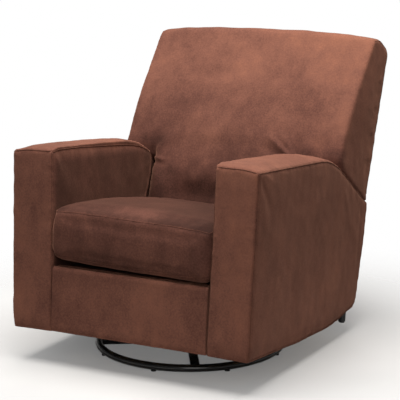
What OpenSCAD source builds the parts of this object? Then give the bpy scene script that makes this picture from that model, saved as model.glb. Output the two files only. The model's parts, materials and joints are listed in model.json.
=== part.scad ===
// Swivel glider chair: an upholstered body hangs on four links from a cradle that turns on a ring base.
// +Z is up and the sitter faces -Y. The origin is on the floor, under the middle of the whole chair.
// The upholstered body is drawn square in its own frame (y back from the front face, z up from the
// bottom edge) and then leans back on the mechanism, which is level.

/* [Body] */
// Width across the arms at the bottom edge
body_w = 760; // [720:5:800]
// Width of one arm
arm_w = 130; // [110:1:140]
// Height of the arm above the body's bottom edge
arm_h = 516; // [500:1:530]
// Lean of each arm outwards
arm_flare = 1.1; // [0:0.1:1.5]
// Lean of the whole body backwards
recline = 4.4; // [3:0.1:5]
// Distance from the front face to the swivel axis
front_to_swivel = 363; // [355:1:370]
// Place of the swivel axis in front of the chair's middle
swivel_y = -117; // [-125:1:-110]

/* [Back] */
// Height of the back above the body's bottom edge
back_h = 857; // [840:1:870]
// Where the back's front face meets the arm tops
back_front = 609; // [600:1:620]
// Depth of padding in front of the back springs
back_pad = 85; // [70:1:95]
// Lean of the back frame
back_rake = 13.1; // [12:0.1:14]

/* [Seat] */
// Top of the seat deck above the body's bottom edge
deck_z = 186; // [180:1:190]
// Underside of the loose cushion at the middle
cushion_z = 193; // [192:1:200]
// Height of the cushion's boxing
cushion_h = 150; // [130:1:155]
// Depth of the cushion from front to back
cushion_d = 522; // [480:1:524]
// Roll of the loose cushion, left side up
cushion_roll = 1.4; // [0:0.1:1.5]

/* [Base] */
// Outside diameter of the ring
ring_od = 572; // [540:1:600]
// Diameter of the ring's tube
ring_tube = 22; // [19:1:25]
// Wall of the ring's tube
ring_wall = 1.6; // [1.2:0.1:2.5]
// Number of floor glides
glide_count = 8; // [4:1:8]
// Turn of the base from the chair's axis
base_turn = 6; // [0:1:10]

/* [Glider] */
// Distance between a link's two pivots
link_len = 125; // [115:1:130]
// Distance between the front and rear pivots
pivot_span = 190; // [170:1:200]
// Height of the top pivots above the floor
top_pivot_z = 210; // [205:1:212]
// Swing of the links each way
swing = 22; // [15:1:22]

/* [Hidden] */
$fn = 64;

// Finishes
suede = "#6b4233";
black_steel = "#1c1c1e";
zinc_steel = "#9a9ca0";
plastic = "#151515";
timber = "#c9a877";
board = "#b08a5c";

// Base, heights above the floor
tube_r = ring_tube / 2;
ring_r = ring_od / 2 - tube_r;
glide_h = 3;
glide_r = 8;
spoke_turn = 25.5;
ring_z = glide_h + tube_r;
spoke_w = 26;
spoke_h = 10;
spoke_in = 45;
spoke_z = ring_z - spoke_h / 2;
hub_r = 110;
plate_t = 5;
hub_z = spoke_z + spoke_h;
race_z = hub_z + plate_t;
race_out = 104;
race_in = 45;
ball_path = 84;
ball_r = 5;
ball_count = 16;
bearing_gap = 8;
ball_z = race_z + plate_t + bearing_gap / 2;
groove_r = ball_r + 0.3;
upper_z = race_z + plate_t + bearing_gap;
table_z = upper_z + plate_t;
cradle_z = table_z + plate_t;

// Glider, in the level frame of the swivel axis
pivot_y = pivot_span / 2;
low_pivot_z = top_pivot_z - link_len;
bracket_x = 150;
bracket_t = 3;
bracket_top = top_pivot_z + 14;
bracket_y = pivot_y + 16;
link_x = 160;
link_t = 6;
link_w = 26;
pin_r = 5;
bush_bore = pin_r + 0.05;
bush_r = 8;
washer_gap = 0.3;
collar_r = 9;
head_h = 5;
rail_x = link_x + link_t + 2;
rail_t = 3;
rail_foot = 32;
rail_y = 258;
rail_top = low_pivot_z + 19;
board_near = 175;
board_d = 80;
board_t = 20;
travel = link_len * sin(swing);
tie_t = 6;
tie_z = cradle_z + 2;
tie_h = 64;
bumper_x = 90;
bumper_r = 10;
bumper_len = board_near - travel - washer_gap - bracket_y - tie_t;

// Body, in its own frame
half_in = body_w / 2 - arm_w;
wood_t = 22;
rail_out = half_in - 2;
rail_z = 10;
rail_h = 102;
spring_rail_top = 165;
front_rail_y = 24;
rear_rail_y = 676;
side_rail_end = 735;
spring_t = 4;
spring_rows = [-150, -50, 50, 150];
deck_t = 13;
cover_t = 23;
back_half = 380;
panel_t = 5;
panel_low = 50;

// Height at which the rear face bends, and the rear face's line below and above it
rear_bend_z = 357;
function rear_y(z) = z < rear_bend_z
    ? 757 + (z - panel_low) * 45 / (rear_bend_z - panel_low)
    : 802 + (z - rear_bend_z) * 128 / 443;

// Front face of the upper back: it leans further back the higher it goes
function back_face(z) = let (t = (z - 500) / 100) back_front + 23.5 * t + 8.5 * t * t;

// Points of an arc, angles in degrees
function arc_pts(c, r, a, b, n) =
    [for (i = [0:n]) let (t = a + (b - a) * i / n) c + r * [cos(t), sin(t)]];

// Closed outline of a wire bent into a wave along y
function wave(len, amp, turns, w) =
    let (n = turns * 8, k = 360 * turns / len,
         p = [for (i = [0:n]) [amp * sin(k * len * i / n), len * i / n]],
         d = [for (i = [0:n]) let (s = amp * k * PI / 180 * cos(k * len * i / n)) [1, -s] / norm([1, s])])
    concat([for (i = [0:n]) p[i] + d[i] * w / 2], [for (i = [n:-1:0]) p[i] - d[i] * w / 2]);

// Frames and helpers
module level() { translate([0, swivel_y, 0]) children(); }
module body() {
    level() translate([0, 0, 275]) rotate([-recline, 0, 0]) translate([0, -front_to_swivel, -200]) children();
}
module side(s) { if (s < 0) mirror([1, 0, 0]) children(); else children(); }
module front_or_rear(e) { if (e < 0) mirror([0, 1, 0]) children(); else children(); }
module arm_frame(s) {
    body() side(s) translate([body_w / 2, 0, 0]) rotate([0, arm_flare, 0])
        translate([-body_w / 2, 0, 0]) children();
}
module slab(lo, hi) { translate(lo) cube(hi - lo); }
module profile(x0, x1, pts) {
    translate([x0, 0, 0]) rotate([90, 0, 90]) linear_extrude(x1 - x0) polygon(pts);
}
module xpin(x0, x1, r, n = 64) {
    translate([x0, 0, 0]) rotate([0, 90, 0]) cylinder(h = x1 - x0, r = r, $fn = n);
}
module ring_solid(r, t) { rotate_extrude($fn = 128) translate([r, 0]) circle(t); }
module at_pivots(z) {
    for (s = [-1, 1], e = [-1, 1]) side(s) translate([0, e * pivot_y, z]) children();
}

// Base
module base_ring() {
    color(black_steel) level() translate([0, 0, ring_z])
        rotate_extrude($fn = 128) translate([ring_r, 0]) difference() {
            circle(tube_r);
            circle(tube_r - ring_wall);
        }
}

module spoke(i) {
    color(black_steel) level() difference() {
        rotate([0, 0, base_turn + spoke_turn + 90 * i])
            slab([spoke_in, -spoke_w / 2, spoke_z], [ring_r, spoke_w / 2, spoke_z + spoke_h]);
        translate([0, 0, ring_z]) ring_solid(ring_r, tube_r);
    }
}

module hub_plate() {
    color(black_steel) level() translate([0, 0, hub_z]) difference() {
        cylinder(h = plate_t, r = hub_r);
        translate([0, 0, -1]) cylinder(h = plate_t + 2, r = spoke_in);
    }
}

module floor_glides() {
    color(plastic) level() difference() {
        for (i = [0:glide_count - 1])
            rotate([0, 0, base_turn + 360 * i / glide_count]) translate([ring_r, 0, 0]) {
                cylinder(h = glide_h + 3, r = glide_r);
            }
        translate([0, 0, ring_z]) ring_solid(ring_r, tube_r + 0.1);
    }
}

module race(z) {
    color(zinc_steel) level() difference() {
        translate([0, 0, z]) cylinder(h = plate_t, r = race_out);
        translate([0, 0, z - 1]) cylinder(h = plate_t + 2, r = race_in);
        translate([0, 0, ball_z]) ring_solid(ball_path, groove_r);
    }
}

module race_rivets() {
    color(zinc_steel) level() for (i = [0:3])
        rotate([0, 0, base_turn + 67.5 + 90 * i]) translate([race_in + 8, 0, race_z + plate_t])
            cylinder(h = 2, r = 5);
}

module ball_cage() {
    color(plastic) level() difference() {
        translate([0, 0, ball_z - 1.5]) cylinder(h = 3, r = ball_path + 9);
        translate([0, 0, ball_z - 3]) cylinder(h = 6, r = ball_path - 9);
        for (i = [0:ball_count - 1])
            rotate([0, 0, 360 * i / ball_count]) translate([ball_path, 0, ball_z - 3])
                cylinder(h = 6, r = groove_r);
    }
}

module bearing_balls() {
    color(zinc_steel) level() for (i = [0:ball_count - 1])
        rotate([0, 0, 360 * i / ball_count]) translate([ball_path, 0, ball_z]) sphere(ball_r);
}

// Cradle on the turntable
module turntable_plate() {
    color(black_steel) level()
        slab([-bracket_x - bracket_t, -bracket_y + 6, table_z],
             [bracket_x + bracket_t, bracket_y - 6, cradle_z]);
}

module cradle_bracket(s) {
    foot_w = 45;
    color(black_steel) level() side(s) difference() {
        union() {
            profile(bracket_x, bracket_x + bracket_t, [
                [-bracket_y + 6, cradle_z], [bracket_y - 6, cradle_z], [bracket_y, top_pivot_z - 30],
                [bracket_y, bracket_top], [-bracket_y, bracket_top], [-bracket_y, top_pivot_z - 30]]);
            slab([bracket_x - foot_w, -bracket_y + 6, cradle_z],
                 [bracket_x, bracket_y - 6, cradle_z + bracket_t]);
        }
        for (e = [-1, 1]) translate([0, e * pivot_y, top_pivot_z])
            xpin(bracket_x - 1, bracket_x + bracket_t + 1, bush_bore);
    }
}

module cradle_ties() {
    color(black_steel) level() for (e = [-1, 1]) front_or_rear(e)
        slab([-bracket_x, bracket_y, tie_z], [bracket_x, bracket_y + tie_t, tie_z + tie_h]);
}

module glide_bumpers() {
    color(plastic) level() for (s = [-1, 1], e = [-1, 1])
        translate([s * bumper_x, e * (bracket_y + tie_t), rail_top + board_t / 2 - 1])
            rotate([-90 * e, 0, 0]) cylinder(h = bumper_len, r1 = bumper_r, r2 = bumper_r - 2);
}

module top_pivot_bolts() {
    color(zinc_steel) level() at_pivots(top_pivot_z) {
        xpin(bracket_x - head_h, bracket_x, collar_r, 6);
        xpin(bracket_x, link_x + link_t + head_h, pin_r);
        xpin(bracket_x + bracket_t, link_x - washer_gap, collar_r);
        xpin(link_x + link_t + washer_gap, link_x + link_t + head_h, collar_r, 6);
    }
}

// Hanger links
module hanger_link(s, e) {
    color(black_steel) level() side(s) translate([0, e * pivot_y, 0]) difference() {
        union() {
            for (z = [low_pivot_z, top_pivot_z]) translate([0, 0, z])
                xpin(link_x, link_x + link_t, link_w / 2);
            slab([link_x, -link_w / 2, low_pivot_z], [link_x + link_t, link_w / 2, top_pivot_z]);
        }
        for (z = [low_pivot_z, top_pivot_z]) translate([0, 0, z])
            xpin(link_x - 1, link_x + link_t + 1, bush_r);
    }
}

module link_bushes(s, e) {
    color(plastic) level() side(s) translate([0, e * pivot_y, 0])
        for (z = [low_pivot_z, top_pivot_z]) translate([0, 0, z]) difference() {
            xpin(link_x, link_x + link_t, bush_r - 0.02);
            xpin(link_x - 1, link_x + link_t + 1, bush_bore);
        }
}

// Carriage under the seat frame
module carriage_rail(s) {
    color(black_steel) level() side(s) difference() {
        union() {
            slab([rail_x, -rail_y, rail_top - 34], [rail_x + rail_t, rail_y, rail_top]);
            slab([rail_x + rail_t, -rail_y, rail_top - rail_t], [rail_x + rail_foot, rail_y, rail_top]);
        }
        for (e = [-1, 1]) translate([0, e * pivot_y, low_pivot_z])
            xpin(rail_x - 1, rail_x + rail_t + 1, bush_bore);
    }
}

module bottom_pivot_bolts() {
    color(zinc_steel) level() at_pivots(low_pivot_z) {
        xpin(link_x - head_h - washer_gap, link_x - washer_gap, collar_r, 6);
        xpin(link_x - washer_gap, rail_x + rail_t + head_h, pin_r);
        xpin(link_x + link_t + washer_gap, rail_x, collar_r);
        xpin(rail_x + rail_t, rail_x + rail_t + head_h, collar_r, 6);
    }
}

module mechanism_screws() {
    color(zinc_steel) level() for (s = [-1, 1], e = [-1, 1], d = [20, 60])
        translate([s * (rail_x + 20), e * (board_near + d), rail_top - rail_t - 3]) cylinder(h = 3, r = 6);
}

module mechanism_board(e) {
    color(timber) level() front_or_rear(e)
        slab([wood_t - rail_out, board_near, rail_top],
             [rail_out - wood_t, board_near + board_d, rail_top + board_t]);
}

// Seat frame
module seat_rail_cross(y, low) {
    color(timber) body() slab([wood_t - rail_out, y, low], [rail_out - wood_t, y + wood_t, spring_rail_top]);
}

module seat_rail_side(s) {
    color(timber) body() side(s) profile(rail_out - wood_t, rail_out, [
        [front_rail_y, rail_z], [600, rail_z], [side_rail_end, rail_z + 36],
        [side_rail_end, rail_z + rail_h], [front_rail_y, rail_z + rail_h]]);
}

module corner_blocks() {
    leg = 38;
    x = rail_out - wood_t;
    color(timber) body() for (s = [-1, 1]) side(s) translate([0, 0, 40]) linear_extrude(60) {
        near = front_rail_y + wood_t;
        polygon([[x, near], [x, near + leg], [x - leg, near]]);
        polygon([[x, rear_rail_y], [x - leg, rear_rail_y], [x, rear_rail_y - leg]]);
    }
}

module seat_springs() {
    start = front_rail_y + 8;
    color(zinc_steel) body() for (x = spring_rows) translate([x, start, spring_rail_top])
        linear_extrude(spring_t) polygon(wave(rear_rail_y + 14 - start, 20, 11, spring_t));
}

module spring_clips() {
    color(zinc_steel) body() for (x = spring_rows, y = [front_rail_y + 4, rear_rail_y + 4])
        slab([x - 14, y, spring_rail_top + spring_t], [x + 14, y + 14, spring_rail_top + spring_t + 1.5]);
}

module seat_deck() {
    color(board) body() slab([2 - half_in, cover_t, deck_z - deck_t], [half_in - 2, 700, deck_z]);
}

module front_rail_cover() {
    round_r = 10;
    top = deck_z;
    color(suede) body() profile(0.5 - half_in, half_in - 0.5, concat(
        [[0, 0]], arc_pts([round_r, top - round_r], round_r, 180, 90, 6), [[cover_t, top], [cover_t, 0]]));
}

// Arm frames, inside the arm upholstery
arm_x0 = half_in + 18;
arm_x1 = body_w / 2 - 18;
arm_top = arm_h - 42;
post_y = 18;
post_t = 32;
stump_y = 500;
tail_rise = 560;
tail_y = 732;
tail_line = [[post_y + post_t, 2], [tail_rise, 2], [tail_y, 44]];

module arm_front_post(s) {
    color(timber) arm_frame(s) slab([arm_x0, post_y, 2], [arm_x1, post_y + post_t, arm_top]);
}
module arm_rear_post(s) {
    color(timber) arm_frame(s)
        slab([arm_x0, stump_y, 2 + wood_t], [arm_x1, stump_y + post_t, arm_top - wood_t]);
}
module arm_top_rail(s) {
    color(timber) arm_frame(s)
        slab([arm_x0, post_y + post_t, arm_top - wood_t], [arm_x1, stump_y + post_t, arm_top]);
}
module arm_bottom_rail(s) {
    color(timber) arm_frame(s) profile(arm_x0, arm_x1, concat(
        tail_line, [[tail_y, 44 + wood_t], [tail_rise - 8, 2 + wood_t], [post_y + post_t, 2 + wood_t]]));
}

// Arm upholstery: the top rolls down at the rear into a straight fall
fall = 28.4;
roll_r = 330;
roll_y = 412;
fall_start = [roll_y + roll_r * sin(fall), arm_h - roll_r * (1 - cos(fall))];
fall_end_y = rear_y(350) - panel_t;
fall_end = [fall_end_y, fall_start[1] - (fall_end_y - fall_start[0]) * tan(fall)];

module arm(s) {
    low_rear = rear_y(panel_low) - panel_t;
    wall = 16;
    color(suede) arm_frame(s) difference() {
        profile(half_in, body_w / 2, concat(
            [[0, 0], [0, arm_h]],
            arc_pts([roll_y, arm_h - roll_r], roll_r, 90, 90 - fall, 10),
            [fall_end, [low_rear, panel_low], [low_rear - 5, 42], [low_rear - 16, 35],
                [low_rear - 56, 26], [low_rear - 129, 9], [tail_rise, 0]]));
        profile(half_in + wall, body_w / 2 - wall, [
            [post_y, -1], [post_y, arm_top], [stump_y + post_t, arm_top], [600, arm_top - 42],
            [fall_end[0] - 32, fall_end[1] - 10], [low_rear - wall, 60], [low_rear - wall, -1]]);
    }
}

// Back frame: local z runs up the posts
post_half = 15;
post_x = 192;
post_w = 34;
post_len = 640;
top_rail_h = 45;

module back_frame() { body() translate([0, 716, 80]) rotate([-back_rake, 0, 0]) children(); }

module back_post(s) {
    color(timber) back_frame() side(s) slab([post_x, -post_half, 0], [post_x + post_w, post_half, post_len]);
}
module back_top_rail() {
    color(timber) back_frame() slab([-340, -post_half, post_len], [340, post_half, post_len + top_rail_h]);
}
module back_bottom_rail() {
    color(timber) back_frame() slab([-post_x, -post_half, 90], [post_x, post_half, 150]);
}
module back_springs() {
    len = 2 * post_x + 24;
    color(zinc_steel) back_frame() for (z = [240, 350, 460, 570])
        translate([-len / 2, -post_half, z]) rotate([90, 0, 0]) rotate([0, 0, -90])
            linear_extrude(spring_t) polygon(wave(len, 20, 7, spring_t));
}

// Back upholstery: a full-width upper part over the arms and a narrower part between them
module inside_back() {
    seam_z = 500;
    shelf = 4;
    lower = [[534, deck_z + 2], [538, 340], [566, 425], [back_front, seam_z]];
    face = [for (z = [seam_z:50:800]) [back_face(z), z]];
    rear_top = rear_y(800) - panel_t;
    color(suede) body() difference() {
        union() {
            profile(1 - half_in, half_in - 1, concat(lower,
                [[back_front + back_pad, seam_z], [566 + back_pad, 425], [534 + back_pad, deck_z + 2]]));
            profile(-back_half, back_half, concat(
                [[back_front - 8, fall_start[1] - (back_front - 8 - fall_start[0]) * tan(fall) + shelf]],
                face,
                arc_pts([805, back_h - 42], 42, 160, 90, 6),
                [[850, back_h - 1]],
                arc_pts([rear_top - 28, 806], 28, 70, 0, 6),
                [[rear_y(rear_bend_z) - panel_t, rear_bend_z], [fall_end[0], fall_end[1] + shelf]]));
        }
        profile(-360, 360, [
            [back_front + back_pad, 330], [back_front + back_pad, seam_z], [back_face(600) + back_pad, 600],
            [back_face(700) + back_pad, 700], [835, 790], [1000, 790], [1000, 330]]);
    }
}

module outside_back() {
    color(suede) body() profile(4 - back_half, back_half - 4, [
        [rear_y(panel_low) - panel_t, panel_low], [rear_y(rear_bend_z) - panel_t, rear_bend_z],
        [rear_y(800) - panel_t, 800], [rear_y(800), 800], [rear_y(rear_bend_z), rear_bend_z],
        [rear_y(panel_low), panel_low]]);
}

module rear_feet() {
    foot_r = 12;
    color(plastic) for (s = [-1, 1]) arm_frame(s) difference() {
        translate([arm_x1 - 10.5, tail_y - foot_r - 0.5, 0]) {
            translate([0, 0, -14]) cylinder(h = 64, r1 = foot_r - 1, r2 = foot_r);
            translate([0, 0, -18]) cylinder(h = 4, r1 = foot_r - 4, r2 = foot_r - 1);
        }
        profile(arm_x0, body_w / 2, concat(tail_line, [[tail_y + 20, 60], [tail_y, 90], [post_y, 90]]));
    }
}

// Loose cushion
module seat_cushion() {
    half = half_in - 1;
    crown = 12;
    crown_r = (half * half + crown * crown) / (2 * crown);
    sweep = asin(half / crown_r);
    color(suede) body() translate([0, 8, cushion_z]) rotate([0, cushion_roll, 0])
        translate([0, cushion_d, 0]) rotate([90, 0, 0]) linear_extrude(cushion_d) polygon(concat(
            [[-half, 0], [half, 0]],
            arc_pts([0, cushion_h + crown - crown_r], crown_r, 90 - sweep, 90 + sweep, 16)));
}

base_ring();
for (i = [0:3]) spoke(i);
hub_plate();
floor_glides();
race(race_z);  // lower_race
race_rivets();
ball_cage();
bearing_balls();
race(upper_z);  // upper_race
turntable_plate();
cradle_bracket(-1);  // cradle_bracket_left
cradle_bracket(1);  // cradle_bracket_right
cradle_ties();
glide_bumpers();
top_pivot_bolts();
hanger_link(-1, -1);  // link_front_left
hanger_link(1, -1);  // link_front_right
hanger_link(-1, 1);  // link_rear_left
hanger_link(1, 1);  // link_rear_right
link_bushes(-1, -1);  // bushes_front_left
link_bushes(1, -1);  // bushes_front_right
link_bushes(-1, 1);  // bushes_rear_left
link_bushes(1, 1);  // bushes_rear_right
carriage_rail(-1);  // carriage_rail_left
carriage_rail(1);  // carriage_rail_right
bottom_pivot_bolts();
mechanism_screws();
mechanism_board(-1);  // mechanism_board_front
mechanism_board(1);  // mechanism_board_rear
seat_rail_cross(front_rail_y, rail_z);  // seat_rail_front
seat_rail_cross(rear_rail_y, rail_z + 30);  // seat_rail_rear
seat_rail_side(-1);  // seat_rail_left
seat_rail_side(1);  // seat_rail_right
corner_blocks();
seat_springs();
spring_clips();
seat_deck();
front_rail_cover();
arm_front_post(-1);  // arm_front_post_left
arm_front_post(1);  // arm_front_post_right
arm_rear_post(-1);  // arm_rear_post_left
arm_rear_post(1);  // arm_rear_post_right
arm_top_rail(-1);  // arm_top_rail_left
arm_top_rail(1);  // arm_top_rail_right
arm_bottom_rail(-1);  // arm_bottom_rail_left
arm_bottom_rail(1);  // arm_bottom_rail_right
arm(-1);  // arm_left
arm(1);  // arm_right
back_post(-1);  // back_post_left
back_post(1);  // back_post_right
back_top_rail();
back_bottom_rail();
back_springs();
inside_back();
outside_back();
rear_feet();
seat_cushion();
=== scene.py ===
"""Swivel glider chair: suede-look upholstery, seams, finishes, floor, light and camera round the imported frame."""

import json
import math

import bmesh
import bpy
import numpy as np
from mathutils import Matrix, Vector, noise
from mathutils.bvhtree import BVHTree
from mathutils.kdtree import KDTree


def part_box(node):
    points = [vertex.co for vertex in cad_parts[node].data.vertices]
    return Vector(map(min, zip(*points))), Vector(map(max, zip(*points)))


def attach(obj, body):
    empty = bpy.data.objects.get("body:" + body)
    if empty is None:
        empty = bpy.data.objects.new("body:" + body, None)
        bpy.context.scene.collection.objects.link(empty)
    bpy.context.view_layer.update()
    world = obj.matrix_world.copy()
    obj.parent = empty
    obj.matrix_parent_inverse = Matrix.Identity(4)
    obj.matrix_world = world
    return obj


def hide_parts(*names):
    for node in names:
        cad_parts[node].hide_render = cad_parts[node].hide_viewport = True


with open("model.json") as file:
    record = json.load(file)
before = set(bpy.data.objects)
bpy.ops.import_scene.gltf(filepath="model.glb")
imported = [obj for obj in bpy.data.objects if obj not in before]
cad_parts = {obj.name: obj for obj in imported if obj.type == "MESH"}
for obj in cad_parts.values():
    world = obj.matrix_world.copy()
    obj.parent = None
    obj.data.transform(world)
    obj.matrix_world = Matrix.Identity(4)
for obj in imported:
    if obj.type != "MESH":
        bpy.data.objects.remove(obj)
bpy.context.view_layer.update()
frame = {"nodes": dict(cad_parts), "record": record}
scene = bpy.context.scene

# The body's own frame: y back from the front face, z up from the bottom edge, in metres
JOINTS = {j["name"]: j for j in frame["record"]["behaviour"]["joints"]}
SWIVEL_Y = JOINTS["swivel"]["pos_m"][1]
RECLINE = math.radians(4.4)
FRONT_TO_SWIVEL = 0.363
HALF_W = 0.380
HALF_IN = 0.250
ARM_FLARE = math.radians(1.1)
ARM_H = 0.516
ROLL_R = 0.330
ROLL_Y = 0.412
FALL = math.radians(28.4)
PANEL_LOW = 0.050
REAR_BEND = 0.357
BACK_FRONT = 0.609
BACK_H = 0.857
BACK_HALF = 0.380
DECK_Z = 0.186
CUSHION_Z = 0.193
CUSHION_ROLL = math.radians(1.4)
PANEL_T = 0.005

BODY = (Matrix.Translation((0, SWIVEL_Y, 0.275)) @ Matrix.Rotation(-RECLINE, 4, "X")
        @ Matrix.Translation((0, -FRONT_TO_SWIVEL, -0.200)))


def arm_place(side):
    """Arm frame: leans outwards about its outer bottom edge; the left one is the right one mirrored."""
    flare = (Matrix.Translation((HALF_W, 0, 0)) @ Matrix.Rotation(ARM_FLARE, 4, "Y")
             @ Matrix.Translation((-HALF_W, 0, 0)))
    return BODY @ Matrix.Diagonal((side, 1, 1, 1)) @ flare


def rear_y(z):
    if z < REAR_BEND:
        return 0.757 + (z - PANEL_LOW) * 0.045 / (REAR_BEND - PANEL_LOW)
    return 0.802 + (z - REAR_BEND) * 0.128 / 0.443


def arc(cy, cz, r, a, b, n):
    steps = [math.radians(a + (b - a) * i / n) for i in range(n + 1)]
    return [(cy + r * math.cos(t), cz + r * math.sin(t)) for t in steps]


def fall_z(y):
    """Height of the arm's straight fall behind the roll."""
    return ARM_H - ROLL_R * (1 - math.cos(FALL)) - (y - ROLL_Y - ROLL_R * math.sin(FALL)) * math.tan(FALL)


def arm_top(y):
    """Height of the arm's top edge line at y."""
    if y <= ROLL_Y:
        return ARM_H
    if y <= ROLL_Y + ROLL_R * math.sin(FALL):
        return ARM_H - ROLL_R + math.sqrt(ROLL_R ** 2 - (y - ROLL_Y) ** 2)
    return fall_z(y)


# ---------------------------------------------------------------- mesh helpers

def new_object(name, mesh):
    obj = bpy.data.objects.new(name, mesh)
    scene.collection.objects.link(obj)
    return obj


def coords(mesh):
    co = np.empty(len(mesh.vertices) * 3, np.float32)
    mesh.vertices.foreach_get("co", co)
    return co.reshape(-1, 3).astype(np.float64)


def normals(mesh):
    no = np.empty(len(mesh.vertices) * 3, np.float32)
    mesh.vertices.foreach_get("normal", no)
    return no.reshape(-1, 3).astype(np.float64)


def set_coords(mesh, co):
    mesh.vertices.foreach_set("co", co.astype(np.float32).ravel())
    mesh.update()


def baked(obj):
    """The object's mesh with its modifiers applied."""
    dg = bpy.context.evaluated_depsgraph_get()
    dg.update()
    mesh = bpy.data.meshes.new_from_object(obj.evaluated_get(dg))
    old = obj.data
    obj.modifiers.clear()
    obj.data = mesh
    bpy.data.meshes.remove(old)
    return mesh


def panel(name, outline, x0, x1, radius):
    """A closed block: the (y, z) outline carried from x0 to x1; radius(mid, run) rounds each sharp edge."""
    bm = bmesh.new()
    face = bm.faces.new([bm.verts.new((x0, y, z)) for y, z in outline])
    far = bmesh.ops.extrude_face_region(bm, geom=[face])["geom"]
    bmesh.ops.translate(bm, verts=[v for v in far if isinstance(v, bmesh.types.BMVert)], vec=(x1 - x0, 0, 0))
    bmesh.ops.recalc_face_normals(bm, faces=bm.faces)
    weight = bm.edges.layers.float.new("bevel_weight_edge")
    for edge in bm.edges:
        if edge.calc_face_angle(0) > math.radians(35):
            a, b = (v.co for v in edge.verts)
            edge[weight] = radius((a + b) / 2, (b - a).normalized()) / 0.05
    mesh = bpy.data.meshes.new(name)
    bm.to_mesh(mesh)
    bm.free()
    obj = new_object(name, mesh)
    mod = obj.modifiers.new("Rounding", "BEVEL")
    mod.limit_method = "WEIGHT"
    mod.offset_type = "OFFSET"
    mod.width = 0.05
    mod.segments = 3
    baked(obj)
    return obj


def joined(name, objs):
    bm = bmesh.new()
    for obj in objs:
        bm.from_mesh(obj.data)
        bpy.data.objects.remove(obj)
    mesh = bpy.data.meshes.new(name)
    bm.to_mesh(mesh)
    bm.free()
    return new_object(name, mesh)


def remesh(obj, voxel):
    mod = obj.modifiers.new("Remesh", "REMESH")
    mod.mode = "VOXEL"
    mod.voxel_size = voxel
    mod.adaptivity = 0
    return baked(obj)


def relax(obj, turns, factor=0.5):
    bm = bmesh.new()
    bm.from_mesh(obj.data)
    for _ in range(turns):
        bmesh.ops.smooth_vert(bm, verts=bm.verts, factor=factor, use_axis_x=True, use_axis_y=True, use_axis_z=True)
    bm.to_mesh(obj.data)
    bm.free()


def inflate(obj, pressure, cap, steps=20):
    """Cloth filled with air: swells between its edges, moving no further than cap."""
    rest = coords(obj.data)
    mod = obj.modifiers.new("Cloth", "CLOTH")
    cloth = mod.settings
    cloth.quality = 4
    cloth.mass = 0.35
    cloth.tension_stiffness = 25
    cloth.compression_stiffness = 12
    cloth.shear_stiffness = 8
    cloth.bending_stiffness = 0.6
    cloth.use_pressure = True
    cloth.uniform_pressure_force = pressure
    cloth.effector_weights.gravity = 0
    for step in range(1, steps + 1):
        scene.frame_set(step)
    dg = bpy.context.evaluated_depsgraph_get()
    swollen = coords(obj.evaluated_get(dg).data)
    obj.modifiers.clear()
    scene.frame_set(1)
    move = swollen - rest
    size = np.linalg.norm(move, axis=1, keepdims=True) + 1e-9
    set_coords(obj.data, rest + move / size * cap * np.tanh(size / cap))


def cut(obj, planes):
    """Cuts the block off flat beyond each (point, normal) plane, and closes it with a crisp edge."""
    bm = bmesh.new()
    bm.from_mesh(obj.data)
    for point, away in planes:
        everything = bm.verts[:] + bm.edges[:] + bm.faces[:]
        made = bmesh.ops.bisect_plane(bm, geom=everything, dist=1e-6, plane_co=point, plane_no=away,
                                      clear_outer=True)["geom_cut"]
        rim = [e for e in made if isinstance(e, bmesh.types.BMEdge)]
        bmesh.ops.edgeloop_fill(bm, edges=rim)
        for edge in rim:
            edge.smooth = False
    bmesh.ops.recalc_face_normals(bm, faces=bm.faces)
    bm.to_mesh(obj.data)
    bm.free()


def dense(points, step=0.004, closed=False):
    """The same path with a point every few millimetres."""
    pts = [Vector(p) for p in points]
    if closed:
        pts.append(pts[0])
    out = []
    for a, b in zip(pts, pts[1:]):
        n = max(1, int((b - a).length / step))
        out += [a.lerp(b, i / n) for i in range(n)]
    return out if closed else out + [pts[-1]]


def distance_to(paths, co):
    points = [p for path in paths for p in path]
    tree = KDTree(len(points))
    for i, p in enumerate(points):
        tree.insert(p, i)
    tree.balance()
    return np.array([tree.find(c)[2] for c in co])


def rolling(co, scale, seed, stretch=(1, 1, 1)):
    """Smooth noise, about -1 to 1, at each point."""
    at = co * np.array(stretch) * scale + seed * 7.3
    return np.array([noise.noise(Vector(p)) for p in at]) * 2


def fold_height(co, folds, flat):
    """Soft ridges and valleys: each runs a to b with a half width and a height that dies away towards b."""
    total = np.zeros(len(co))
    flat = np.array(flat)
    at = co * flat
    for a, b, width, height in folds:
        a, b = np.array(a) * flat, np.array(b) * flat
        run = b - a
        t = np.clip((at - a) @ run / (run @ run), 0, 1)
        gap = np.linalg.norm(at - a - t[:, None] * run, axis=1)
        spread = width * (0.7 + 0.7 * t)
        total += height * np.exp(-(gap / spread) ** 2) * (1 - t) ** 0.6
    return total


def hug(tree, path, lift):
    """The path laid on a surface, standing lift proud of it."""
    out = []
    for p in path:
        spot, facing, _, _ = tree.find_nearest(p)
        out.append(spot + facing * lift)
    for _ in range(3):
        out = [out[0]] + [(a + 2 * b + c) / 4 for a, b, c in zip(out, out[1:], out[2:])] + [out[-1]]
    return out


def tubes(name, paths, radius, closed=False):
    """Sewn welts: a thin round tube along each path, as one mesh."""
    curve = bpy.data.curves.new(name, "CURVE")
    curve.dimensions = "3D"
    curve.bevel_depth = radius
    curve.bevel_resolution = 2
    curve.use_fill_caps = True
    for path in paths:
        spline = curve.splines.new("POLY")
        spline.points.add(len(path) - 1)
        spline.points.foreach_set("co", [c for p in path for c in (*p, 1.0)])
        spline.use_cyclic_u = closed
    temp = new_object(name + "_curve", curve)
    mesh = bpy.data.meshes.new_from_object(temp.evaluated_get(bpy.context.evaluated_depsgraph_get()))
    bpy.data.objects.remove(temp)
    bpy.data.curves.remove(curve)
    mesh.name = name
    return new_object(name, mesh)


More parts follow.
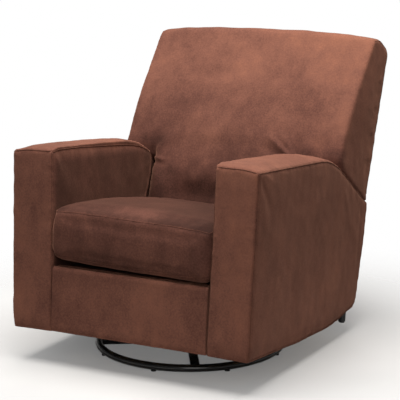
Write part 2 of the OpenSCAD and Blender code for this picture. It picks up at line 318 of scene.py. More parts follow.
def settle(obj, place):
    """Moves the finished mesh into the chair's frame and shades it smooth."""
    obj.data.transform(place)
    if place.determinant() < 0:
        obj.data.flip_normals()
    obj.data.polygons.foreach_set("use_smooth", [True] * len(obj.data.polygons))
    obj.data.update()


def upholster(name, panels, place, seams, voxel=0.006, crown=0.004, reach=0.05, pinch=0.0018, folds=(),
              flat=(1, 1, 1), ripple=0.0012, seed=1, swell=None, hem=None, ends=(), shape=None, welt_r=0.0014,
              closed=False, pucker=0.0007, nap_and_painted_light=None):
    """A padded cover: panels joined and evened out, crowned between its seams, creased, hemmed and seamed."""
    obj = joined(name, [panel(name + "_part", *p) for p in panels])
    remesh(obj, voxel)
    relax(obj, 2)
    if swell:
        inflate(obj, *swell)
        relax(obj, 1)
    paths = [dense(s, closed=closed) for s in seams]
    co, no = coords(obj.data), normals(obj.data)
    gap = distance_to(paths, co)
    lift = crown * (1 - np.exp(-gap / reach)) - pinch * np.exp(-(gap / 0.006) ** 2)
    lift += fold_height(co, folds, flat)
    lift += ripple * rolling(co, 9, seed) * (1 - np.exp(-gap / 0.03))
    lift += 0.35 * ripple * rolling(co, 28, seed + 3)
    lift += pucker * rolling(co, 70, seed + 5) * np.exp(-(gap / 0.016) ** 2)
    co = co + no * lift[:, None]
    rise = (lambda at: np.zeros(len(at))) if hem is None else (lambda at: np.interp(at[:, 1], *hem))
    co[:, 2] -= rise(co)
    set_coords(obj.data, co)
    cut(obj, ([] if hem is None else [((0, 0, 0), (0, 0, -1))]) + list(ends))
    co = coords(obj.data)
    co[:, 2] += rise(co)
    gap = distance_to(paths, co)
    # Each piece's painted light and shade, as values for the suede ramp.
    nap_and_light_values = np.zeros(len(co)) if nap_and_painted_light is None else nap_and_painted_light(co)
    if shape:
        co = shape(co)
        paths = [[Vector(v) for v in shape(np.array(p))] for p in paths]
    set_coords(obj.data, co)
    nap_light_attr = obj.data.attributes.new("nap_and_painted_light", "FLOAT", "POINT")
    nap_light_attr.data.foreach_set("value", nap_and_light_values.astype(np.float32))
    # Closeness to the seams, for the painted seam shade in the suede.
    seam_shade_layer = obj.data.attributes.new("seam_shade", "FLOAT", "POINT")
    seam_shade_layer.data.foreach_set("value", np.exp(-(gap / 0.004) ** 2).astype(np.float32))
    tree = BVHTree.FromPolygons([Vector(c) for c in co], [tuple(p.vertices) for p in obj.data.polygons])
    welts = tubes(name + "_welts", [hug(tree, p, 0.0003) for p in paths], welt_r, closed)
    settle(obj, place)
    settle(welts, place)
    return obj, welts


# ---------------------------------------------------------------- shader helpers

class Num:
    """A number socket; Python arithmetic on it adds Math nodes."""

    def __init__(self, mat, socket):
        self.mat, self.socket = mat, socket

    def _op(self, kind, *others):
        node = self.mat.tree.nodes.new("ShaderNodeMath")
        node.operation = kind
        for slot_in, value in zip(node.inputs, (self, *others)):
            self.mat.feed(slot_in, value)
        return Num(self.mat, node.outputs[0])

    def __add__(self, other): return self._op("ADD", other)
    __radd__ = __add__
    def __sub__(self, other): return self._op("SUBTRACT", other)
    def __rsub__(self, other): return self._op("MULTIPLY_ADD", -1.0, other)
    def __mul__(self, other): return self._op("MULTIPLY", other)
    __rmul__ = __mul__


class Finish:
    """One procedural material, built on a Principled shader."""

    def __init__(self, name, rough, **constants):
        self.material = bpy.data.materials.new(name)
        self.material.use_nodes = True
        self.tree = self.material.node_tree
        self.shader = self.tree.nodes["Principled BSDF"]
        self.shader.inputs["Roughness"].default_value = rough
        for key, value in constants.items():
            self.shader.inputs[key.replace("_", " ")].default_value = value
        self.place = self.node("ShaderNodeTexCoord").outputs["Object"]

    def feed(self, socket, value):
        if isinstance(value, Num):
            value = value.socket
        if isinstance(value, bpy.types.NodeSocket):
            self.tree.links.new(value, socket)
        else:
            socket.default_value = value

    def node(self, kind, settings=None, **sockets):
        made = self.tree.nodes.new(kind)
        for key, value in (settings or {}).items():
            setattr(made, key, value)
        for key, value in sockets.items():
            self.feed(made.inputs[key.replace("_", " ")], value)
        return made

    def noise(self, scale, detail=2.0, stretch=(1, 1, 1), rough=0.5):
        spot = self.node("ShaderNodeMapping", Vector=self.place, Scale=stretch).outputs[0]
        made = self.node("ShaderNodeTexNoise", Vector=spot, Scale=scale, Detail=detail, Roughness=rough)
        return Num(self, made.outputs["Factor"] if "Factor" in made.outputs else made.outputs[0])

    def ramp(self, value, *stops):
        made = self.tree.nodes.new("ShaderNodeValToRGB")
        elements = made.color_ramp.elements
        while len(elements) < len(stops):
            elements.new(0.5)
        for element, (at, colour) in zip(elements, stops):
            element.position = at
            element.color = (*colour, 1)
        self.feed(made.inputs[0], value)
        return made.outputs[0]

    def blend(self, how, amount, a, b):
        made = self.node("ShaderNodeMix", {"data_type": "RGBA", "blend_type": how})
        self.feed(made.inputs[0], amount)
        self.feed(made.inputs[6], a)
        self.feed(made.inputs[7], b)
        return made.outputs[2]

    def bump(self, height, distance, strength=1.0, under=None):
        made = self.node("ShaderNodeBump", Height=height, Distance=distance, Strength=strength)
        if under is not None:
            self.feed(made.inputs["Normal"], under)
        return made.outputs[0]

    def colour(self, value): self.feed(self.shader.inputs["Base Color"], value)
    def rough(self, value): self.feed(self.shader.inputs["Roughness"], value)
    def normal(self, value): self.feed(self.shader.inputs["Normal"], value)


def suede(name, tones, stretch=(1, 1, 0.6)):
    """Brushed microfibre: fibres lying in soft patches and strokes, a fine pile; painted light and shade from each
    piece's attribute, and painted shade darker in the seams.
    """
    m = Finish(name, 0.92, Sheen_Weight=0.35, Sheen_Roughness=0.45, Sheen_Tint=(0.85, 0.42, 0.28, 1),
               Specular_IOR_Level=0.12)
    patches = m.noise(6, 3, stretch)
    strokes = m.noise(30, 3, stretch)
    pile = m.noise(900, 2)
    nap_light_attr = Num(m, m.node("ShaderNodeAttribute", {"attribute_name": "nap_and_painted_light"}).outputs["Fac"])
    grain = m.noise(210, 3)
    # The ramp index: random patches, strokes and grain, plus each piece's painted light and shade.
    nap_and_painted_light = patches * 0.50 + strokes * 0.27 + grain * 0.35 + nap_light_attr * 0.8
    base = m.ramp(nap_and_painted_light, *tones)
    # Painted shade: the colour darkened within a few millimetres of each seam.
    seam_shade = m.node("ShaderNodeAttribute", {"attribute_name": "seam_shade"}).outputs["Fac"]
    m.colour(m.blend("MULTIPLY", Num(m, seam_shade) * 0.45, base, (0.45, 0.38, 0.36, 1)))
    m.rough(0.86 + strokes * 0.12)
    fine = m.bump(pile, 0.0005, 0.5)
    m.normal(m.bump(strokes, 0.0012, 0.25, fine))
    return m.material


def plain_cloth(name, base_a, base_b):
    """Thin spun-bonded cloth."""
    m = Finish(name, 0.9)
    fibres = m.noise(420, 3, (1, 1, 1))
    m.colour(m.ramp(fibres, (0.3, base_a), (0.7, base_b)))
    m.normal(m.bump(fibres, 0.0004, 0.5))
    return m.material


def gloss_black(name):
    """Powder-smooth gloss black steel with faint orange peel and a little dust."""
    m = Finish(name, 0.22, Coat_Weight=0.6, Coat_Roughness=0.08, Metallic=0.0)
    peel = m.noise(260, 2)
    dust = m.noise(22, 4)
    m.colour(m.ramp(dust, (0.35, (0.006, 0.006, 0.007)), (0.75, (0.016, 0.016, 0.017))))
    m.rough(0.16 + dust * 0.16)
    m.normal(m.bump(peel, 0.0002, 0.15))
    return m.material


def satin_black(name):
    """Black painted mechanism steel, slightly pebbled, scuffed grey in places."""
    m = Finish(name, 0.45, Metallic=0.0)
    pebble = m.noise(700, 2)
    scuff = m.noise(30, 5)
    m.colour(m.ramp(scuff, (0.45, (0.012, 0.012, 0.013)), (0.8, (0.05, 0.05, 0.052))))
    m.rough(0.38 + scuff * 0.2)
    m.normal(m.bump(pebble, 0.0003, 0.3))
    return m.material


def zinc(name):
    """Zinc-plated steel with a soft brushed grain."""
    m = Finish(name, 0.35, Metallic=1.0)
    grain = m.noise(600, 3, (0.15, 1, 1))
    cloud = m.noise(40, 3)
    m.colour(m.ramp(cloud, (0.3, (0.36, 0.36, 0.37)), (0.7, (0.58, 0.58, 0.60))))
    m.rough(0.26 + grain * 0.22)
    m.normal(m.bump(grain, 0.0001, 0.3))
    return m.material


def plastic(name, tone):
    """Moulded plastic with a fine spark texture."""
    m = Finish(name, 0.42)
    spark = m.noise(1400, 2)
    cloud = m.noise(35, 3)
    m.colour(m.ramp(cloud, (0.3, tone), (0.75, tuple(c * 1.7 for c in tone))))
    m.rough(0.36 + cloud * 0.16)
    m.normal(m.bump(spark, 0.0002, 0.35))
    return m.material


def timber(name, stretch):
    """Plain pale plywood and poplar, grain along the longest way of the piece."""
    m = Finish(name, 0.62)
    grain = m.noise(60, 5, stretch, 0.6)
    band = m.noise(9, 2, stretch)
    pores = m.noise(380, 2, stretch)
    tone = grain * 0.5 + band * 0.5
    m.colour(m.ramp(tone, (0.32, (0.34, 0.20, 0.095)), (0.5, (0.50, 0.33, 0.17)), (0.7, (0.62, 0.44, 0.25))))
    m.rough(0.55 + pores * 0.2)
    m.normal(m.bump(pores, 0.0003, 0.4))
    return m.material


# ---------------------------------------------------------------- finishes

SUEDE_TONES = ((0.00, (0.026, 0.0100, 0.0078)), (0.20, (0.050, 0.0195, 0.0142)), (0.38, (0.100, 0.0395, 0.0285)),
               (0.56, (0.165, 0.067, 0.0455)), (0.74, (0.226, 0.091, 0.057)), (0.92, (0.290, 0.116, 0.070)))
SUEDE = suede("suede", SUEDE_TONES)
# Painted shade: the welts are the suede darkened to 0.72 of its colour, for the shade along the seams.
SUEDE_WELT_SHADED = suede("suede_welt_shaded", tuple((at, tuple(c * 0.72 for c in tone)) for at, tone in SUEDE_TONES))
CAMBRIC = plain_cloth("black_cambric", (0.010, 0.010, 0.010), (0.030, 0.028, 0.027))
DECK_CLOTH = plain_cloth("deck_cloth", (0.045, 0.020, 0.014), (0.080, 0.036, 0.025))
BY_SLOT = {
    "gloss_black_steel": gloss_black("gloss_black_steel"),
    "black_steel": satin_black("black_steel"),
    "zinc_steel": zinc("zinc_steel"),
    "black_plastic": plastic("black_plastic", (0.010, 0.010, 0.011)),
    "rubber": plastic("rubber", (0.014, 0.014, 0.014)),
    "suede": SUEDE,
    "deck_cloth": DECK_CLOTH,
}
TIMBER = {axis: timber("timber_" + axis, stretch) for axis, stretch in
          {"x": (0.08, 1, 1), "y": (1, 0.08, 1), "z": (1, 1, 0.08)}.items()}


def dress(obj, material, under=None):
    """Gives a piece its material, and its downward faces a second one."""
    obj.data.materials.clear()
    obj.data.materials.append(material)
    if under:
        obj.data.materials.append(under)
        faces = np.array([p.normal.z for p in obj.data.polygons])
        low = np.array([p.center.z for p in obj.data.polygons])
        down = (faces < -0.9) & (low < 0.14)
        obj.data.polygons.foreach_set("material_index", down.astype(np.int32))


slots = {s["node"]: s["material_slot"] for s in frame["record"]["subparts"]}
for node, obj in frame["nodes"].items():
    if slots[node] == "timber":
        lo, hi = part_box(node)
        longest = max(range(3), key=lambda i: hi[i] - lo[i])
        dress(obj, TIMBER["xyz"[longest]])
    else:
        dress(obj, BY_SLOT[slots[node]])


def finish_piece(obj, welts, body, node, material=None):
    dress(obj, material or SUEDE, CAMBRIC)
    dress(welts, SUEDE_WELT_SHADED)
    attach(obj, body)
    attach(welts, body)
    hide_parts(node)


# ---------------------------------------------------------------- arms

HEM_Y = (0.0, 0.230, 0.340, 0.410, 0.520, 0.560, 0.623, 0.696, 0.736, 0.752)
HEM_Z = (-0.001, -0.004, -0.006, -0.003, -0.002, 0.001, 0.010, 0.027, 0.035, 0.046)


def arm_cover(side, seed):
    low_rear = rear_y(PANEL_LOW) - PANEL_T
    end_y = rear_y(0.350) - PANEL_T
    outline = [(0, -0.030), (0, ARM_H)] + arc(ROLL_Y, ARM_H - ROLL_R, ROLL_R, 90, 90 - math.degrees(FALL), 10)
    outline += [(end_y, fall_z(end_y)), (low_rear, PANEL_LOW)]
    outline += [(y, z - 0.030) for y, z in zip(HEM_Y[:0:-1], HEM_Z[:0:-1])]
    inner, outer = HALF_IN, HALF_W

    def radius(mid, run):
        if mid.z < 0.04 and abs(run.z) < 0.9:
            return 0
        if mid.y < 0.001:
            return 0.007 if mid.z > 0.5 else 0.004 if mid.x < 0.3 else 0.009
        if mid.x < 0.3:
            return 0.005 if mid.y < 0.45 else 0.010
        return 0.008 if mid.z > 0.4 else 0.013

    ys = [0.004 + 0.024 * i for i in range(33)]
    front_panel = [(inner + 0.001, 0.001, 0.002), (inner + 0.001, 0.001, ARM_H - 0.006), (inner + 0.004, 0.001, ARM_H - 0.003),
                   (outer - 0.004, 0.001, ARM_H - 0.003), (outer, 0.005, ARM_H - 0.010), (outer, 0.006, 0.002)]
    outer_top = [(outer, y, arm_top(y) - 0.004) for y in ys if y < end_y - 0.004]
    seam_y = (0.006, 0.100, 0.180, 0.290, 0.390, 0.450, 0.490, 0.515, 0.538, 0.554, 0.562, 0.566, 0.565, 0.562, 0.554,
              0.545, 0.533, 0.526, 0.520, 0.516)
    seam_z = (0.508, 0.5085, 0.5075, 0.505, 0.504, 0.5015, 0.497, 0.4915, 0.484, 0.476, 0.468, 0.460, 0.445, 0.4285,
              0.400, 0.3715, 0.344, 0.310, 0.270, 0.230)
    inner_top = [(inner, y, z) for y, z in zip(seam_y, seam_z)]
    hem = [(inner, 0.004, 0.002)] + [(outer, y, z + 0.003) for y, z in zip(HEM_Y, HEM_Z)]
    seams = [front_panel, outer_top, inner_top, hem]
    folds = [
        ((outer, 0.03, 0.508), (outer, 0.14, 0.462), 0.010, 0.0016),
        ((outer, 0.02, 0.490), (outer, 0.09, 0.380), 0.012, -0.0020),
        ((outer, 0.60, 0.405), (outer, 0.66, 0.300), 0.016, 0.0016),
        ((outer, 0.74, 0.330), (outer, 0.73, 0.120), 0.012, -0.0016),
        ((inner + 0.05, 0.40, 0.518), (inner + 0.03, 0.55, 0.482), 0.014, 0.0020),
        ((inner, 0.015, 0.500), (inner, 0.050, 0.450), 0.006, 0.0018),
        ((inner, 0.035, 0.502), (inner, 0.080, 0.465), 0.006, -0.0014),
        ((inner, 0.535, 0.440), (inner, 0.420, 0.390), 0.012, 0.0018),
        ((inner, 0.525, 0.350), (inner, 0.430, 0.345), 0.010, -0.0015),
        ((inner + 0.006, 0.0, 0.506), (inner + 0.016, 0.0, 0.440), 0.006, 0.0030),
        ((inner + 0.016, 0.0, 0.506), (inner + 0.030, 0.0, 0.450), 0.006, -0.0018),
    ]

    # Painted light and shade: the inner face darker below the arm top for the seat well's shade, the outer face a
    # little darker and more so towards the bottom, and the front face darker low and lighter high, lighter on the
    # right arm where more light falls.
    def nap_and_painted_light(co):
        x, y, z = co.T
        inside = np.clip((0.275 - x) / 0.012, 0, 1) * np.clip((y - 0.004) / 0.02, 0, 1)
        low = np.clip((0.50 - z) / 0.02, 0, 1)
        outside = np.clip((x - 0.372) / 0.006, 0, 1) * np.clip((y - 0.004) / 0.01, 0, 1)
        facing = np.clip((0.004 - y) / 0.004, 0, 1)
        front = np.interp(z, [0.0, 0.25, 0.5], [-0.03, -0.01, 0.0]) + (0.11 if side > 0 else 0.02) * np.clip(z / 0.5, 0, 1)
        return -0.42 * inside * low - (0.05 + 0.05 * np.clip((0.30 - z) / 0.3, 0, 1)) * outside + front * facing

    def shape(co):
        x, y, z = co.T
        back_edge = np.interp(z, seam_z[:8:-1], seam_y[:8:-1]) + 0.002
        past = np.clip((y - back_edge) / 0.013, 0, 1)
        near_in = np.clip((inner + 0.050 - x) / 0.045, 0, 1)
        if side < 0:
            x = x + 0.006 * np.clip((x - 0.330) / 0.040, 0, 1)
        x = x + 0.026 * past * past * (3 - 2 * past) * near_in * (z > 0.20) * np.clip((0.492 - z) / 0.01, 0, 1)
        tuck = 0.003 * np.exp(-(z / 0.020) ** 2)
        x = x - np.where(x > 0.34, tuck, 0)
        y = y + np.where(y < 0.03, tuck, 0)
        tall = np.interp(y, [0, 0.03, 0.15, 0.30, 0.41, 0.50, 0.60], [0.005, 0.012, 0.0115, 0.0095, 0.006, 0.003, 0])
        spread = np.clip((outer + 0.004 - x) / 0.055, 0, 1)
        on_top = np.clip((z - 0.470) / 0.035, 0, 1)
        z = z + tall * spread * spread * (3 - 2 * spread) * on_top * on_top
        return np.stack([x, y, z], axis=1)

    name = "arm_cover_left" if side < 0 else "arm_cover_right"
    obj, welts = upholster(name, [(outline, inner, outer, radius)], arm_place(side), seams, voxel=0.005,
                           crown=0.0035, reach=0.04, folds=folds, seed=seed, shape=shape, hem=(HEM_Y, HEM_Z),
                           nap_and_painted_light=nap_and_painted_light)
    finish_piece(obj, welts, "chair", "arm_left" if side < 0 else "arm_right")
    return obj


# ---------------------------------------------------------------- back

FACE_Z = np.linspace(0.15, 0.85, 141)
FACE_Y = np.interp(FACE_Z, [0.19, 0.34, 0.40, 0.45, 0.50, 0.55, 0.60, 0.70, 0.80, 0.85],
                   [0.531, 0.539, 0.556, 0.578, 0.603, 0.621, 0.641, 0.690, 0.756, 0.795])
for _ in range(12):
    FACE_Y[1:-1] = (FACE_Y[:-2] + 2 * FACE_Y[1:-1] + FACE_Y[2:]) / 4


def eased(places, values, turns=40):
    """The values carried over FACE_Z with their corners smoothed away."""
    line = np.interp(FACE_Z, places, values)
    for _ in range(turns):
        line[1:-1] = (line[:-2] + 2 * line[1:-1] + line[2:]) / 4
    return line


LEAN = eased([0.55, 0.66, 0.75, 0.83], [0, 0.013, 0.019, 0.022])
WAIST = eased([0.48, 0.53, 0.66, 0.75, 0.85], [0.010, 0.012, 0.0125, 0.009, 0.003])
# Painted light on the back's front face: darker low in the seat well's shade, lighter towards the top where more light
# falls.
BACK_PAINTED_LIGHT = eased([0.34, 0.42, 0.48, 0.56, 0.66, 0.78, 0.85], [-0.38, -0.32, -0.22, -0.13, -0.10, 0.00, 0.06])


def front_face(z):
    return float(np.interp(z, FACE_Z, FACE_Y))


def inside_back():
    rear_top = rear_y(0.800) - PANEL_T
    lower = [(front_face(z), z) for z in np.linspace(DECK_Z + 0.004, 0.520, 12)]
    lower += [(0.720, 0.520), (0.700, DECK_Z + 0.004)]
    foot_y, end_y = BACK_FRONT - 0.010, rear_y(0.350) - PANEL_T
    face = [(front_face(z), z) for z in (0.50, 0.525, 0.55, 0.60, 0.65, 0.70, 0.75, 0.80)]
    top = arc(0.810, BACK_H - 0.030, 0.030, 147, 90, 5) + [(0.850, BACK_H - 0.001)]
    top += arc(rear_top - 0.028, 0.806, 0.028, 70, 0, 5)
    upper = [(foot_y, fall_z(foot_y) + 0.006)] + face + top
    upper += [(rear_y(REAR_BEND) - PANEL_T, REAR_BEND), (end_y, fall_z(end_y) + 0.006)]
    half, narrow = BACK_HALF, 0.2545

    def radius(mid, run):
        if abs(run.x) > 0.9:
            return 0.012 if mid.z > 0.45 else 0.004
        if abs(mid.x) < 0.3:
            return 0.006
        return 0.016 if mid.y < 0.8 else 0.010

    panels = [(lower, -narrow, narrow, radius), (upper, -half, half, radius)]
    seams = []
    for s in (-1, 1):
        seams.append([(s * half, rear_y(z) - PANEL_T - 0.002, z) for z in (0.38, 0.45, 0.55, 0.65, 0.75, 0.795)]
                     + [(s * half, y, z) for y, z in reversed(top[3:])])
    seams.append([(-half, rear_top - 0.001, 0.806), (half, rear_top - 0.001, 0.806)])
    folds = []
    for (x0, z0), (x1, z1), width, height in (
            ((0.250, 0.470), (0.120, 0.560), 0.0075, 0.0130), ((0.250, 0.462), (0.100, 0.528), 0.010, -0.0070),
            ((0.250, 0.472), (0.138, 0.572), 0.008, -0.0060), ((0.248, 0.478), (0.155, 0.568), 0.007, 0.0090),
            ((0.245, 0.480), (0.180, 0.572), 0.008, -0.0055), ((0.236, 0.485), (0.202, 0.562), 0.007, 0.0095),
            ((0.240, 0.490), (0.217, 0.568), 0.009, -0.0080), ((0.262, 0.495), (0.268, 0.575), 0.014, 0.0040),
            ((0.300, 0.500), (0.318, 0.560), 0.016, -0.0035),
            ((-0.252, 0.458), (-0.205, 0.453), 0.006, 0.0060), ((-0.252, 0.446), (-0.210, 0.440), 0.007, -0.0030),
            ((-0.250, 0.490), (-0.170, 0.560), 0.014, 0.0025), ((-0.262, 0.495), (-0.225, 0.600), 0.016, -0.0025),
            ((-0.250, 0.420), (-0.215, 0.370), 0.012, 0.0035), ((-0.235, 0.340), (-0.228, 0.230), 0.012, -0.0025),
            ((0.235, 0.420), (0.170, 0.400), 0.012, 0.0035)):
        folds.append(((x0, front_face(z0), z0), (x1, front_face(z1), z1), width, height))
    for i in range(8):
        z0 = 0.45 + 0.040 * i
        for s in (-1, 1):
            folds.append(((s * half, rear_y(z0) - 0.050, z0), (s * half, rear_y(z0 + 0.17) - 0.050, z0 + 0.17),
                          0.006, 0.0022 if i % 2 else -0.0018))

    # Painted light and shade on the front face: darker low and lighter high along the table above, a painted shadow
    # band just above the arm tops, and lighter towards the right above z 0.5.
    def nap_and_painted_light(co):
        x, y, z = co.T
        front = np.clip(1 - (y - np.interp(z, FACE_Z, FACE_Y)) / 0.03, 0, 1)
        up = np.interp(z, FACE_Z, BACK_PAINTED_LIGHT)
        shaded = 0.16 * np.exp(-((z - 0.515) / 0.016) ** 2) * np.clip((np.abs(x) - 0.20) / 0.05, 0, 1)
        return front * (up - shaded + 0.08 * x / half * np.clip((z - 0.5) / 0.1, 0, 1))

    def shape(co):
        x, y, z = co.T
        face_y = np.interp(z, FACE_Z, FACE_Y)
        frontness = np.clip(1 - (y - face_y) / 0.10, 0, 1)
        across = np.clip(1 - (x / half) ** 2, 0, 1)
        y = y - 0.014 * frontness * across * np.exp(-((z - 0.58) / 0.16) ** 2)
        over_arm = np.clip((np.abs(x) - 0.235) / 0.03, 0, 1)
        low = np.clip((0.520 - z) / 0.055, 0, 1)
        y = y + np.where(x < 0, 0.012, 0.018) * over_arm * low * low * frontness
        y = y + 0.024 * np.clip((x + 0.20) / 0.08, 0, 1) * frontness * np.exp(-((z - 0.35) / 0.055) ** 2)
        y = y + np.interp(z, FACE_Z, LEAN) * frontness
        x = x - np.sign(x) * np.interp(z, FACE_Z, WAIST) * frontness * np.clip((np.abs(x) - 0.27) / 0.08, 0, 1)
        rise = np.clip((z - 0.68) / 0.17, 0, 1)
        z = z + 0.016 * across ** 0.7 * rise * rise * (3 - 2 * rise)
        return np.stack([x, y, z], axis=1)

    obj, welts = upholster("back_cover", panels, BODY, seams, crown=0.005, reach=0.06, folds=folds,
                           flat=(1, 0.25, 1), ripple=0.0016, seed=5, shape=shape, nap_and_painted_light=nap_and_painted_light, voxel=0.0055, welt_r=0.0012)
    finish_piece(obj, welts, "chair", "inside_back")
    return obj


def outside_back():
    half = BACK_HALF - 0.004
    zs = (PANEL_LOW - 0.006, 0.20, REAR_BEND, 0.50, 0.65, 0.80)
    rear = [(rear_y(z), z) for z in zs]
    front = [(rear_y(z) - PANEL_T, z) for z in reversed(zs)]
    seams = [[(s * (half - 0.003), y + 0.001, z) for y, z in rear] for s in (-1, 1)]
    seams.append([(-half, rear_y(0.80), 0.798), (half, rear_y(0.80), 0.798)])
    seams.append([(-half, rear_y(zs[0]), zs[0] + 0.003), (half, rear_y(zs[0]), zs[0] + 0.003)])
    obj, welts = upholster("outside_back_cover", [(rear + front, -half, half, lambda mid, run: 0.0015)], BODY, seams,
                           voxel=0.0035, crown=0.004, reach=0.06, pinch=0.0004, seed=9, ripple=0.0010, welt_r=0.0022)
    finish_piece(obj, welts, "chair", "outside_back")
    return obj


# ---------------------------------------------------------------- seat

def front_rail():
    half = HALF_IN - 0.0004
    top = DECK_Z + 0.005
    outline = [(0.0, -0.027), (0.0, top), (0.040, top), (0.040, top - 0.014), (0.022, top - 0.016), (0.022, -0.027)]
    seams = [[(-half, 0.0, 0.005), (half, 0.0, 0.005)], [(-half, 0.020, top), (half, 0.020, top)]]

    def radius(mid, run):
        return 0.009 if mid.z > 0.18 and mid.y < 0.01 else 0.0

    # Painted shade: the whole rail panel a shade darker, for the shade under the cushion's lip.
    obj, welts = upholster("front_rail_panel", [(outline, -0.270, 0.270, radius)], BODY, seams, voxel=0.005,
                           crown=0.0025, reach=0.05, seed=13, ripple=0.0012, hem=((0, 1), (0.003, 0.003)),
                           ends=[((half, 0, 0), (1, 0, 0)), ((-half, 0, 0), (-1, 0, 0))], welt_r=0.0010,
                           nap_and_painted_light=lambda co: np.full(len(co), -0.08))
    finish_piece(obj, welts, "chair", "front_rail_cover")
    return obj


def seat_deck():
    half = HALF_IN - 0.004
    outline = [(0.026, DECK_Z - 0.013), (0.026, DECK_Z - 0.001), (0.700, DECK_Z - 0.001), (0.700, DECK_Z - 0.013)]
    seams = [[(-half, 0.075, DECK_Z), (half, 0.075, DECK_Z)]]
    obj, welts = upholster("deck_cover", [(outline, -half, half, lambda mid, run: 0.004)], BODY, seams, crown=0.002,
                           reach=0.08, seed=17, ripple=0.0015)
    finish_piece(obj, welts, "chair", "seat_deck", DECK_CLOTH)
    return obj


def seat_cushion():
    half, deep, tall = 0.2530, 0.522, 0.156
    place = BODY @ Matrix.Translation((0, 0.008, CUSHION_Z)) @ Matrix.Rotation(CUSHION_ROLL, 4, "Y")
    y0, z0 = -0.005, 0.006
    outline = [(y0, z0), (y0, tall), (deep - 0.002, tall - 0.008), (deep - 0.002, z0)]

    def radius(mid, run):
        if abs(run.z) > 0.9:
            return 0.006
        return 0.007 if mid.z > 0.1 else 0.010

    edge = [(-half, y0), (half, y0), (half, deep - 0.002), (-half, deep - 0.002)]
    r = 0.006
    ring = []
    for (x, y), a in zip(edge, (180, 270, 0, 90)):
        cx, cy = x + (r if x < 0 else -r), y + (r if y < 0.1 else -r)
        ring += [(cx + r * math.cos(math.radians(a + 18 * i)), cy + r * math.sin(math.radians(a + 18 * i)))
                 for i in range(6)]
    seams = [[(x, y, np.interp(y, [y0, deep], [tall, tall - 0.008]) - 0.003) for x, y in ring],
             [(x, y, z0 + 0.012) for x, y in ring]]
    folds = []
    for x, lean, height in ((0.120, 0.02, 0.0016), (0.165, 0.03, -0.0022), (0.205, 0.025, 0.0022), (0.235, 0.01, -0.002),
                            (-0.170, -0.03, 0.0018), (-0.215, -0.02, -0.0022), (-0.050, 0.02, 0.0012)):
        folds.append(((x, y0, tall), (x + lean, y0 + 0.06, tall + 0.01), 0.010, height))
        folds.append(((x, y0, z0 + 0.01), (x - lean, y0, z0 + 0.06), 0.012, -height))

    # Painted light and shade: the whole cover a darker tone, its top darker still in the seat well's shade and darker
    # towards the right in the right arm's shadow, with a painted highlight along the roll just behind the front seam.
    def nap_and_painted_light(co):
        x, y, z = co.T
        top = np.clip((z - tall + 0.016) / 0.012, 0, 1)
        painted_roll_highlight = np.exp(-((x - 0.01) / 0.14) ** 2 - ((y - 0.032) / 0.035) ** 2)
        return -0.23 + top * (0.30 * painted_roll_highlight - 0.28 - 0.20 * np.clip((x + 0.08) / half, 0, 1)) + 0.04 * np.clip(x / half, 0, 1)

    def shape(co):
        x, y, z = co.T
        u = x / half
        v = (y - deep / 2) / (deep / 2)
        top = np.clip((z - 0.060) / 0.085, 0, 1)
        edge_rise = np.interp(y, [0, 0.05, 0.13, 0.23, 0.40, 0.495, 0.52],
                              [0.007, 0.012, 0.012, 0.010, -0.004, -0.010, -0.012])
        dome = 0.012 * np.clip(1 - u ** 2, 0, 1) ** 0.8 * np.clip(1 - v ** 4, 0, 1)
        seam_dip = 0.006 * np.clip(1 - np.abs(u) ** 6, 0, 1)
        z = z + (edge_rise + dome * np.clip((y + 0.005) / 0.05, 0.2, 1) + seam_dip - 0.003) * top * top
        low = np.clip((0.045 - z) / 0.04, 0, 1)
        z = z + low * np.interp(x, [-0.262, -0.250, -0.238, -0.215, -0.16, 0.19, 0.225, 0.255],
                                [0.021, 0.017, 0.011, 0.007, 0.004, 0.004, 0.006, 0.013])
        proud = np.clip((0.012 - y) / 0.016, 0, 1)
        y = y - 0.010 * proud * proud
        x = x - 0.014 * np.clip((-0.012 - y) / 0.005, 0, 1) * np.clip((-0.215 - x) / 0.035, 0, 1)
        return np.stack([x, y, z], axis=1)

    obj, welts = upholster("seat_cushion_cover", [(outline, -half, half, radius)], place, seams, crown=0.0035,
                           reach=0.045, folds=folds, ripple=0.0010, seed=21, shape=shape, nap_and_painted_light=nap_and_painted_light, swell=(4.0, 0.0025),
                           welt_r=0.0009, closed=True)
    finish_piece(obj, welts, "seat_cushion", "seat_cushion")
    return obj


arm_cover(-1, 2)
arm_cover(1, 31)
inside_back()
outside_back()
front_rail()
seat_deck()
seat_cushion()


# ---------------------------------------------------------------- floor, light, camera

def floor():
    bm = bmesh.new()
    bmesh.ops.create_grid(bm, x_segments=8, y_segments=8, size=4.0)
    mesh = bpy.data.meshes.new("floor")
    bm.to_mesh(mesh)
    bm.free()
    obj = new_object("floor", mesh)
    m = Finish("pale_floor", 0.8, Specular_IOR_Level=0.2)
    m.colour(m.ramp(m.noise(3, 2), (0.3, (0.62, 0.613, 0.60)), (0.7, (0.66, 0.653, 0.64))))
    reach = Num(m, m.node("ShaderNodeVectorMath", {"operation": "LENGTH"}, Vector=m.place).outputs["Value"])
    fade = m.node("ShaderNodeMapRange", {"interpolation_type": "SMOOTHSTEP"}, Value=reach)
    for key, value in (("From Min", 0.3), ("From Max", 1.4), ("To Min", 0.85), ("To Max", 0.0)):
        fade.inputs[key].default_value = value
    m.feed(m.shader.inputs["Alpha"], fade.outputs[0])
    obj.data.materials.append(m.material)


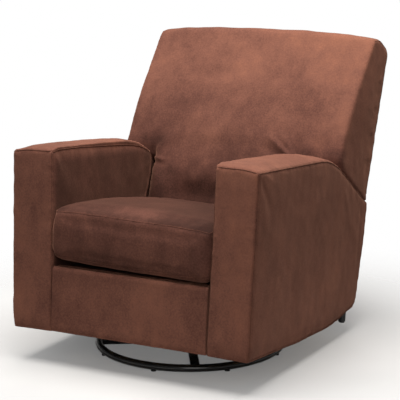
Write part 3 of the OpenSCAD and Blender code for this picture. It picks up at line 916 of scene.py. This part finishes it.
def area_light(name, place, aim, size, power, tint=(1, 1, 1)):
    lamp = bpy.data.lights.new(name, "AREA")
    lamp.shape = "RECTANGLE"
    lamp.size, lamp.size_y = size
    lamp.energy = power
    lamp.color = tint
    obj = bpy.data.objects.new(name, lamp)
    scene.collection.objects.link(obj)
    obj.location = place
    obj.rotation_euler = (Vector(aim) - Vector(place)).to_track_quat("-Z", "Y").to_euler()


def room_light():
    world = bpy.data.worlds.new("room")
    scene.world = world
    world.use_nodes = True
    tree = world.node_tree
    tree.nodes.clear()
    out = tree.nodes.new("ShaderNodeOutputWorld")
    seen = tree.nodes.new("ShaderNodeBackground")
    lit = tree.nodes.new("ShaderNodeBackground")
    mix = tree.nodes.new("ShaderNodeMixShader")
    path = tree.nodes.new("ShaderNodeLightPath")
    lit.inputs[0].default_value = (1.0, 0.98, 0.96, 1)
    lit.inputs[1].default_value = 0.13
    seen.inputs[0].default_value = (1, 1, 1, 1)
    seen.inputs[1].default_value = 1.0
    tree.links.new(path.outputs["Is Camera Ray"], mix.inputs[0])
    tree.links.new(lit.outputs[0], mix.inputs[1])
    tree.links.new(seen.outputs[0], mix.inputs[2])
    tree.links.new(mix.outputs[0], out.inputs[0])


def camera():
    azimuth, elevation = math.radians(28.1), math.radians(11.49)
    distance = 4.4008
    aim = Vector((0.029 * math.cos(azimuth), 0.029 * math.sin(azimuth) + SWIVEL_Y, 0.4462))
    away = Vector((math.sin(azimuth) * math.cos(elevation), -math.cos(azimuth) * math.cos(elevation),
                   math.sin(elevation)))
    cam = bpy.data.cameras.new("camera")
    cam.lens = 133.5
    cam.sensor_width = 36
    obj = bpy.data.objects.new("camera", cam)
    scene.collection.objects.link(obj)
    obj.location = aim + away * distance
    obj.rotation_euler = (-away).to_track_quat("-Z", "Y").to_euler()
    scene.camera = obj


floor()
room_light()
area_light("top_softbox", (0.0, -0.55, 3.1), (0, 0, 0.3), (2.5, 2.5), 168, (1.0, 0.97, 0.94))
area_light("front_fill", (1.9, -2.9, 1.5), (0, 0, 0.35), (1.6, 1.6), 17, (1.0, 0.96, 0.93))
area_light("rear_fill", (-1.0, 3.4, 1.7), (0, 0, 0.4), (1.6, 1.6), 26, (1.0, 0.97, 0.94))
camera()
scene.view_settings.view_transform = "Standard"
